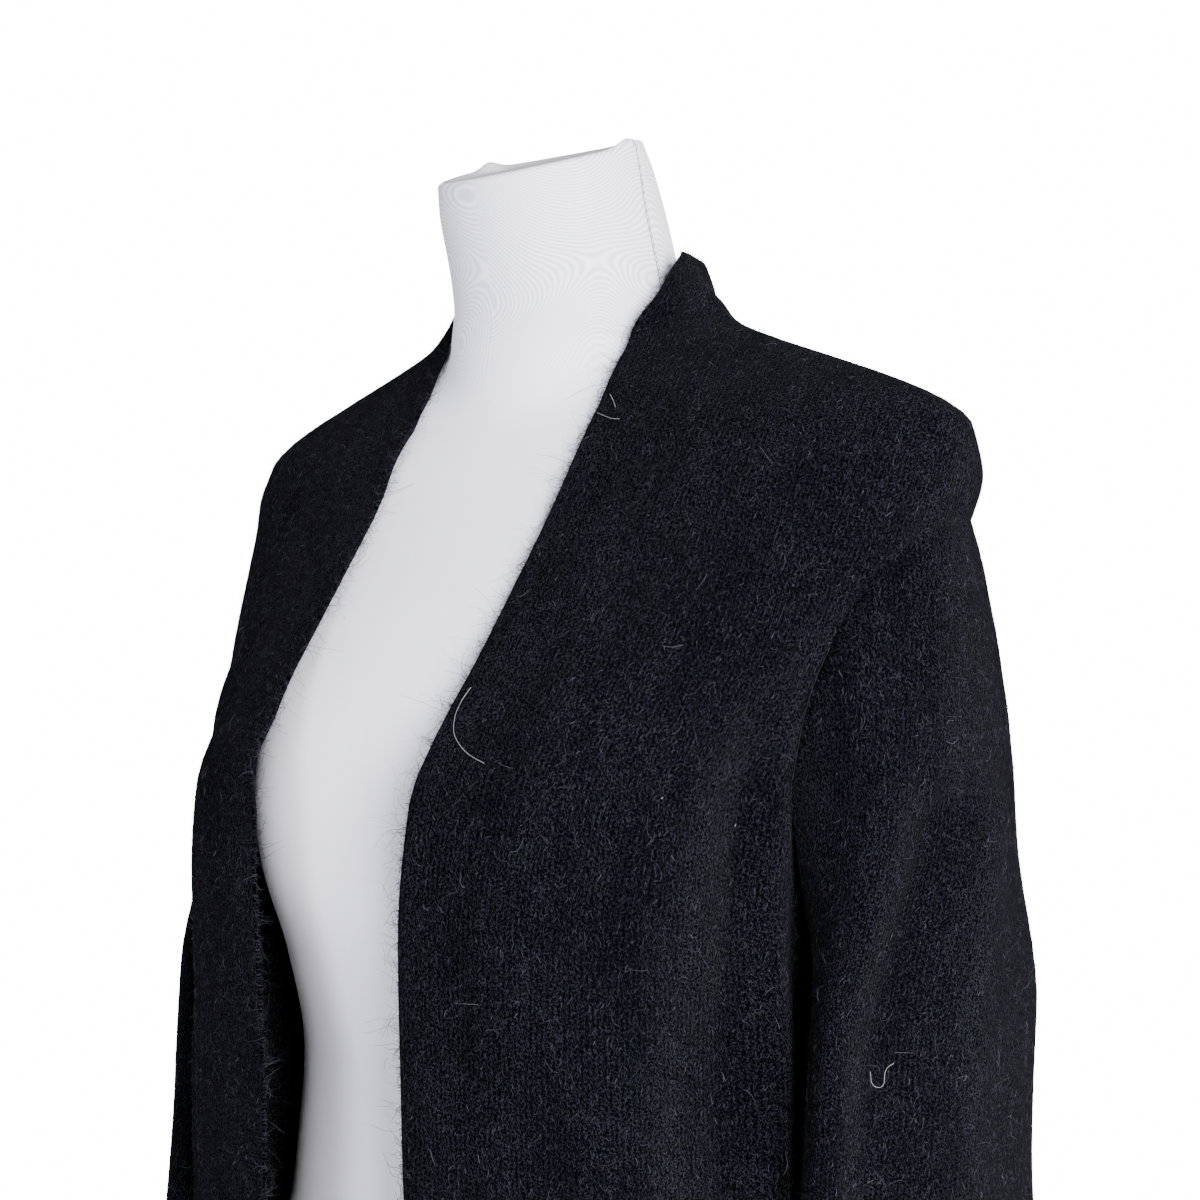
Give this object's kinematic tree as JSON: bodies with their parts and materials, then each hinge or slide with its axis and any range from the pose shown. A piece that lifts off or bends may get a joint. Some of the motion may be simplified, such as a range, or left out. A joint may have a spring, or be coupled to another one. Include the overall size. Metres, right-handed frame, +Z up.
{
  "type": "cardigan on a dress form",
  "caption": "Open-front long-sleeved knitted cardigan with a back-neck stand, hanging on a limbless dress form with a pole and a round base.",
  "frame": {"origin": "centre of the round base's underside, on the floor", "axes": "+Z up along the pole, -Y the way the form faces, +X towards the wearer's left"},
  "size_m": [0.4959, 0.34, 1.512],
  "materials": {
    "knit": "brushed wool and mohair knit, matt with a fuzzy halo",
    "cover": "smooth white stretch jersey",
    "steel": "satin"
  },
  "bodies": {
    "root": {"back": "knit", "front_left": "knit", "front_right": "knit", "sleeve_left": "knit", "sleeve_right": "knit", "neck_band": "knit", "dress_form": "cover", "pole": "steel", "socket": "steel", "base": "steel"}
  },
  "joints": []
}
